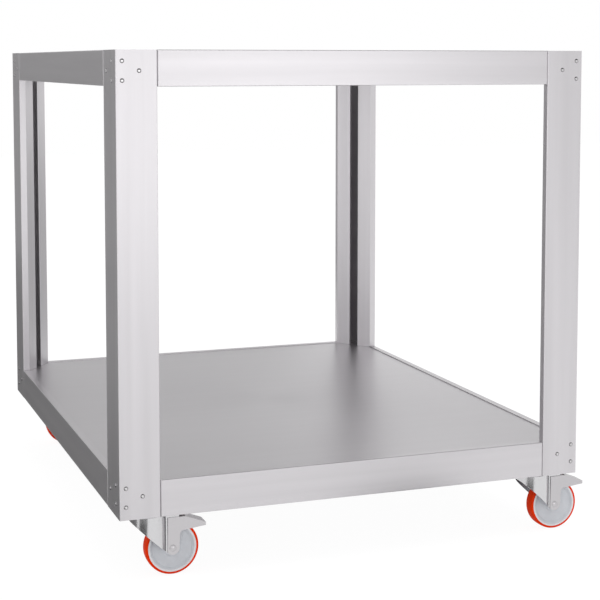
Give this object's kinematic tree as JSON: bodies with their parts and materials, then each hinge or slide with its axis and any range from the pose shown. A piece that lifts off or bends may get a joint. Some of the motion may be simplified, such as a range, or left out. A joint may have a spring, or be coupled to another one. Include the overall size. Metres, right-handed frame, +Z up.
{
  "type": "pizza oven stand",
  "caption": "Open stainless-steel oven stand on swivel castors: folded corner legs, a mitred top frame, a full lower shelf, and brake pedals on the front castors.",
  "frame": {"origin": "on the floor, at the centre of the outline seen from above with the castors trailing to the right", "axes": "+X to the right seen from the front, +Y to the back, +Z up"},
  "size_m": [0.9878, 1.154, 0.9805],
  "materials": {
    "stainless_sheet": "satin stainless sheet",
    "shelf_sheet": "bright stainless sheet with blurred reflections",
    "stainless_fasteners": "plain stainless",
    "zinc_plated": "smooth zinc-plated pressed steel",
    "wheel_core": "pale moulded polyamide",
    "tyre": "orange-red polyurethane, satin"
  },
  "bodies": {
    "frame": {"leg_front_left": "stainless_sheet", "leg_front_right": "stainless_sheet", "leg_rear_left": "stainless_sheet", "leg_rear_right": "stainless_sheet", "rail_top_front": "stainless_sheet", "rail_top_rear": "stainless_sheet", "rail_top_left": "stainless_sheet", "rail_top_right": "stainless_sheet", "rail_bottom_front": "stainless_sheet", "rail_bottom_rear": "stainless_sheet", "rail_bottom_left": "stainless_sheet", "rail_bottom_right": "stainless_sheet", "shelf": "shelf_sheet", "gusset_front_left": "stainless_sheet", "gusset_front_right": "stainless_sheet", "gusset_rear_left": "stainless_sheet", "gusset_rear_right": "stainless_sheet", "frame_screws": "stainless_fasteners", "frame_nuts": "stainless_fasteners", "castor_bolts": "zinc_plated", "castor_nuts": "zinc_plated", "castor_plate_front_left": "zinc_plated", "castor_plate_front_right": "zinc_plated", "castor_plate_rear_left": "zinc_plated", "castor_plate_rear_right": "zinc_plated", "kingpin_front_left": "zinc_plated", "kingpin_front_right": "zinc_plated", "kingpin_rear_left": "zinc_plated", "kingpin_rear_right": "zinc_plated"},
    "swivel_front_left": {"fork_front_left": "zinc_plated", "race_balls_front_left": "zinc_plated", "axle_sleeve_front_left": "zinc_plated", "axle_bolt_front_left": "zinc_plated", "brake_leaf_front_left": "zinc_plated"},
    "wheel_front_left": {"wheel_core_front_left": "wheel_core", "tyre_front_left": "tyre"},
    "lever_front_left": {"brake_lever_front_left": "zinc_plated"},
    "swivel_front_right": {"fork_front_right": "zinc_plated", "race_balls_front_right": "zinc_plated", "axle_sleeve_front_right": "zinc_plated", "axle_bolt_front_right": "zinc_plated", "brake_leaf_front_right": "zinc_plated"},
    "wheel_front_right": {"wheel_core_front_right": "wheel_core", "tyre_front_right": "tyre"},
    "lever_front_right": {"brake_lever_front_right": "zinc_plated"},
    "swivel_rear_left": {"fork_rear_left": "zinc_plated", "race_balls_rear_left": "zinc_plated", "axle_sleeve_rear_left": "zinc_plated", "axle_bolt_rear_left": "zinc_plated"},
    "wheel_rear_left": {"wheel_core_rear_left": "wheel_core", "tyre_rear_left": "tyre"},
    "swivel_rear_right": {"fork_rear_right": "zinc_plated", "race_balls_rear_right": "zinc_plated", "axle_sleeve_rear_right": "zinc_plated", "axle_bolt_rear_right": "zinc_plated"},
    "wheel_rear_right": {"wheel_core_rear_right": "wheel_core", "tyre_rear_right": "tyre"}
  },
  "joints": [
    {"name": "front_left_swivel", "type": "hinge", "parent": "frame", "child": "swivel_front_left", "pos_m": [-0.4258, -0.512, 0.123], "axis": [0, 0, 1], "continuous": true},
    {"name": "front_left_roll", "type": "hinge", "parent": "swivel_front_left", "child": "wheel_front_left", "pos_m": [-0.3803, -0.512, 0.0515], "axis": [0, 1, 0], "continuous": true},
    {"name": "front_left_brake", "type": "hinge", "parent": "swivel_front_left", "child": "lever_front_left", "pos_m": [-0.3803, -0.512, 0.0515], "axis": [0, 1, 0], "range_deg": [0, 12]},
    {"name": "front_right_swivel", "type": "hinge", "parent": "frame", "child": "swivel_front_right", "pos_m": [0.3842, -0.512, 0.123], "axis": [0, 0, 1], "continuous": true},
    {"name": "front_right_roll", "type": "hinge", "parent": "swivel_front_right", "child": "wheel_front_right", "pos_m": [0.4297, -0.512, 0.0515], "axis": [0, 1, 0], "continuous": true},
    {"name": "front_right_brake", "type": "hinge", "parent": "swivel_front_right", "child": "lever_front_right", "pos_m": [0.4297, -0.512, 0.0515], "axis": [0, 1, 0], "range_deg": [0, 12]},
    {"name": "rear_left_swivel", "type": "hinge", "parent": "frame", "child": "swivel_rear_left", "pos_m": [-0.4258, 0.512, 0.123], "axis": [0, 0, 1], "continuous": true},
    {"name": "rear_left_roll", "type": "hinge", "parent": "swivel_rear_left", "child": "wheel_rear_left", "pos_m": [-0.3803, 0.512, 0.0515], "axis": [0, 1, 0], "continuous": true},
    {"name": "rear_right_swivel", "type": "hinge", "parent": "frame", "child": "swivel_rear_right", "pos_m": [0.3842, 0.512, 0.123], "axis": [0, 0, 1], "continuous": true},
    {"name": "rear_right_roll", "type": "hinge", "parent": "swivel_rear_right", "child": "wheel_rear_right", "pos_m": [0.4297, 0.512, 0.0515], "axis": [0, 1, 0], "continuous": true}
  ]
}
